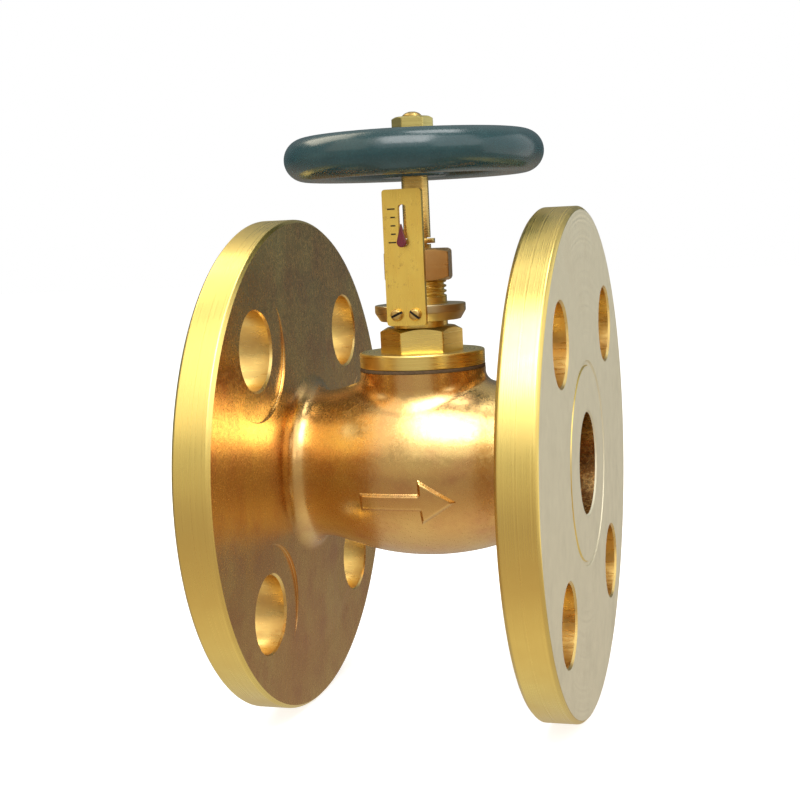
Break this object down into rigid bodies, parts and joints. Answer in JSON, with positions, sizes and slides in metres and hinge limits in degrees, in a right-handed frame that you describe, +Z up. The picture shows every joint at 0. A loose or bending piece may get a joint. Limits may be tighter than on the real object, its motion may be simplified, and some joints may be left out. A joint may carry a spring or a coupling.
{
  "type": "flanged globe valve",
  "caption": "Flanged bronze globe valve with a rising stem, handwheel, packed gland and a sliding open and shut indicator.",
  "frame": {"origin": "where the axis of the stem crosses the axis of the pipe", "axes": "+Z up along the stem, +X along the flow from the inlet flange to the outlet flange, -Y towards the indicator plate"},
  "size_m": [0.082, 0.125, 0.1498],
  "materials": {
    "cast_bronze": "blasted cast bronze, reddish, satin, machined and more golden on the flanges",
    "machined_bronze": "fine turned bronze, satin",
    "brass": "brushed yellow brass",
    "green_paint": "glossy dark green enamel",
    "red_paint": "dark red enamel",
    "gasket": "matt compressed fibre sheet",
    "packing": "greased braid",
    "steel": "dull stainless steel"
  },
  "bodies": {
    "valve_body": {"body_casting": "cast_bronze", "bonnet": "machined_bronze", "bonnet_gasket": "gasket", "packing_ring_1": "packing", "packing_ring_2": "packing", "packing_ring_3": "packing", "gland": "brass", "gland_nut": "machined_bronze", "indicator_collar": "machined_bronze", "collar_grub_screw": "steel", "indicator_plate": "brass", "indicator_screw_left": "brass", "indicator_screw_right": "brass"},
    "pointer": {"pointer_fork": "brass", "pointer_tip": "red_paint"},
    "spindle": {"stem": "brass", "handwheel": "green_paint", "spring_washer": "steel", "handwheel_nut": "brass"},
    "disc": {"disc": "machined_bronze", "disc_nut": "brass"}
  },
  "joints": [
    {"name": "stem_lift", "type": "slide", "parent": "valve_body", "child": "pointer", "axis": [0, 0, 1], "range_m": [0, 0.00801]},
    {"name": "handwheel_turn", "type": "hinge", "parent": "pointer", "child": "spindle", "pos_m": [0, 0, 0], "axis": [0, 0, 1], "range_deg": [0, 1440]},
    {"name": "disc_swivel", "type": "hinge", "parent": "spindle", "child": "disc", "pos_m": [0, 0, 0], "axis": [0, 0, 1], "continuous": true}
  ],
  "couplings": [
    {"joint": "stem_lift", "follows": "handwheel_turn", "m_per_rad": 0.00031831}
  ]
}
